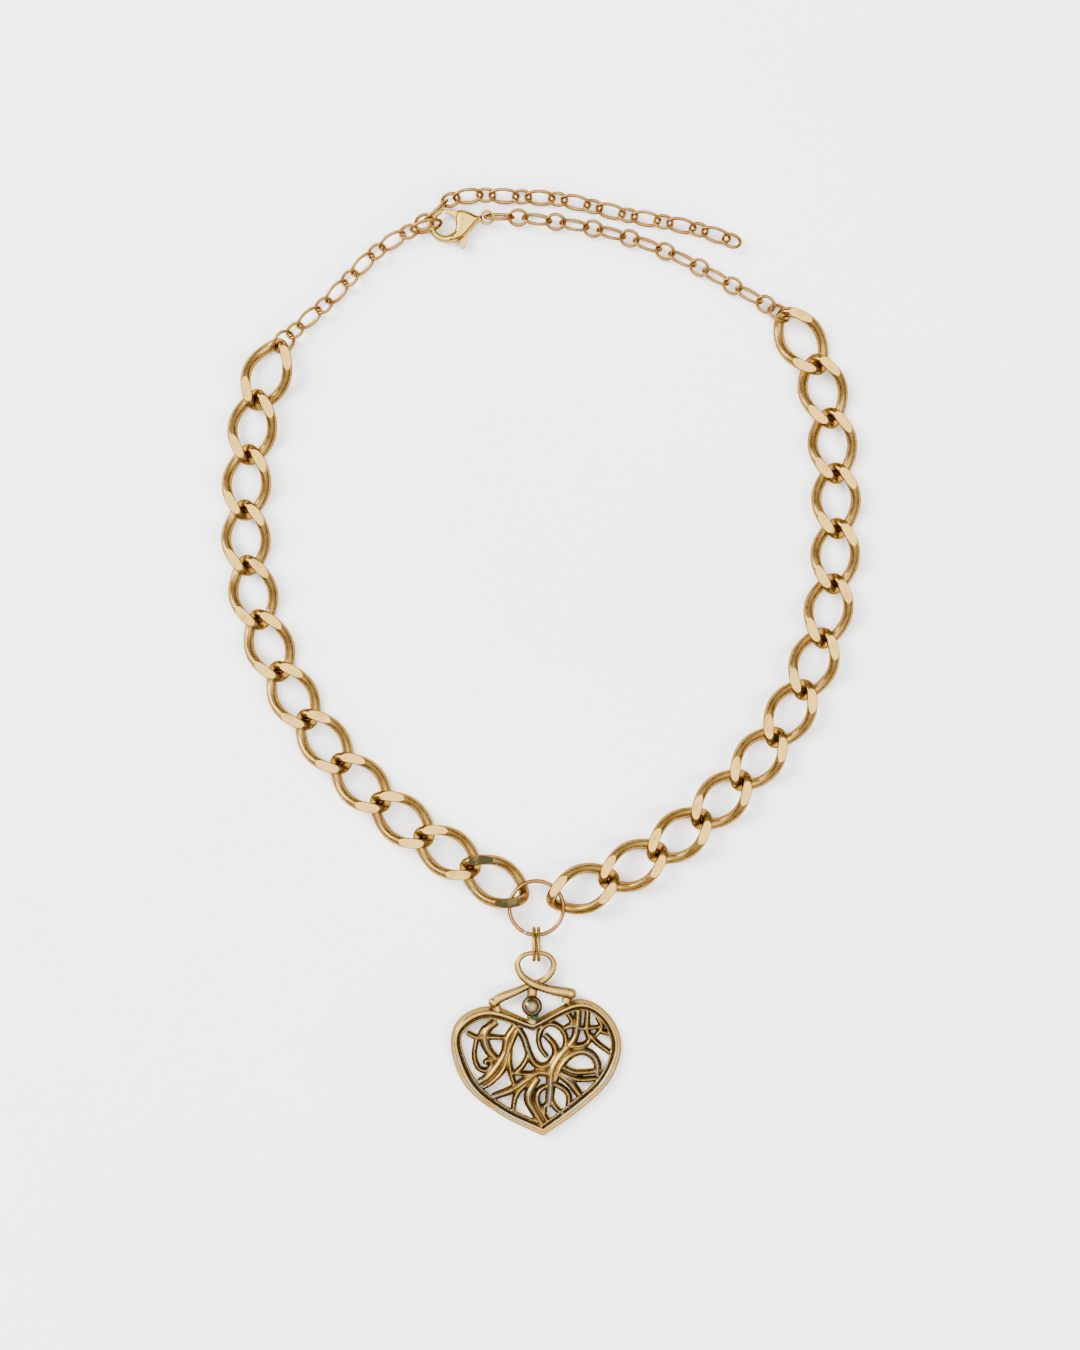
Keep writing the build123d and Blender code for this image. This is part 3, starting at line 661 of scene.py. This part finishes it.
def dress_chains():
    """The frame's own links, bead, pin and spring each get their metal, by how names start."""
    curb = curb_gold("curb_gold", CURB_FACETS)
    tarnished = curb_gold("curb_tarnished", TARNISHED_FACETS)
    cable = plain_plate("cable_gold", CABLE_PLATE, 0.18, scratch_mm=WIRE_SCRATCH_MM)
    ring = plain_plate("ring_gold", RING_PLATE, 0.17, scratch_mm=WIRE_SCRATCH_MM)
    jump = plain_plate("jump_gold", JUMP_PLATE, 0.17, scratch_mm=WIRE_SCRATCH_MM)
    silver = plain_plate("bead_silver", BEAD_SILVER, 0.13, blotch_mm=1.6)
    pin = plain_plate("pin_gold", PIN_PLATE, 0.14)
    spring = plain_plate("spring_wire", SPRING_STEEL, 0.25, blotch_mm=0.5)
    metals = {
        "curb_left_01": tarnished, "curb_": curb, "cable_": cable, "extender_": cable,
        "hooked_": cable, "join_": cable, "centre_ring": ring, "jump_": jump,
        "pendant_bead": silver, "clasp_pin": pin, "clasp_spring": spring,
    }
    for name, node in frame["nodes"].items():
        metal = next((metals[start] for start in metals if name.startswith(start)), None)
        if metal:
            node.data.materials.clear()
            node.data.materials.append(metal)


# ---------------------------------------------------------------- the setting

def add_light(name, size, place, power, mirrored):
    data = bpy.data.lights.new(name, "AREA")
    data.shape = "RECTANGLE"
    data.size, data.size_y = size
    data.energy = power
    light = bpy.data.objects.new(name, data)
    light.location = place
    light.rotation_euler = (-Vector(place)).to_track_quat("-Z", "Y").to_euler()
    light.visible_glossy = mirrored
    bpy.context.scene.collection.objects.link(light)


def make_setting():
    half = TABLE_SIZE / 2
    corners = [(-half, -half, 0), (half, -half, 0), (half, half, 0), (-half, half, 0)]
    board = bpy.data.meshes.new("table")
    board.from_pydata(corners, [], [(0, 1, 2, 3)])
    table = bpy.data.objects.new("table", board)
    bpy.context.scene.collection.objects.link(table)
    board.materials.append(table_top())

    for name, light in LIGHTS.items():
        add_light(name, *light)

    world = bpy.data.worlds.new("studio")
    world.use_nodes = True
    tree = world.node_tree
    sky = tree.nodes["Background"]
    place = tree.nodes.new("ShaderNodeTexCoord")
    parts = tree.nodes.new("ShaderNodeSeparateXYZ")
    blend = tree.nodes.new("ShaderNodeValToRGB")
    tree.links.new(place.outputs["Generated"], parts.inputs["Vector"])
    tree.links.new(parts.outputs["Z"], blend.inputs["Fac"])
    tree.links.new(blend.outputs["Color"], sky.inputs["Color"])
    ramp = blend.color_ramp
    ramp.elements[0].position, ramp.elements[0].color = SKY[0][0], (*SKY[0][1], 1)
    ramp.elements[1].position, ramp.elements[1].color = SKY[-1][0], (*SKY[-1][1], 1)
    for height, colour in SKY[1:-1]:
        ramp.elements.new(height).color = (*colour, 1)
    bpy.context.scene.world = world


def make_camera():
    data = bpy.data.cameras.new("camera")
    data.sensor_fit = "VERTICAL"
    data.sensor_height = SENSOR_HEIGHT_MM
    data.angle = 2 * atan(VIEW_HEIGHT / 2 / CAMERA_DISTANCE)
    camera = bpy.data.objects.new("camera", data)
    camera.location = (*VIEW_CENTRE, CAMERA_DISTANCE)
    bpy.context.scene.collection.objects.link(camera)
    bpy.context.scene.camera = camera


make_setting()
make_camera()
dress_chains()
make_heart(antique_gold())
make_patina_spot()
make_clasp(plain_plate("clasp_gold", CLASP_PLATE, 0.12, blotch_mm=6.0, scratch_mm=0.001))
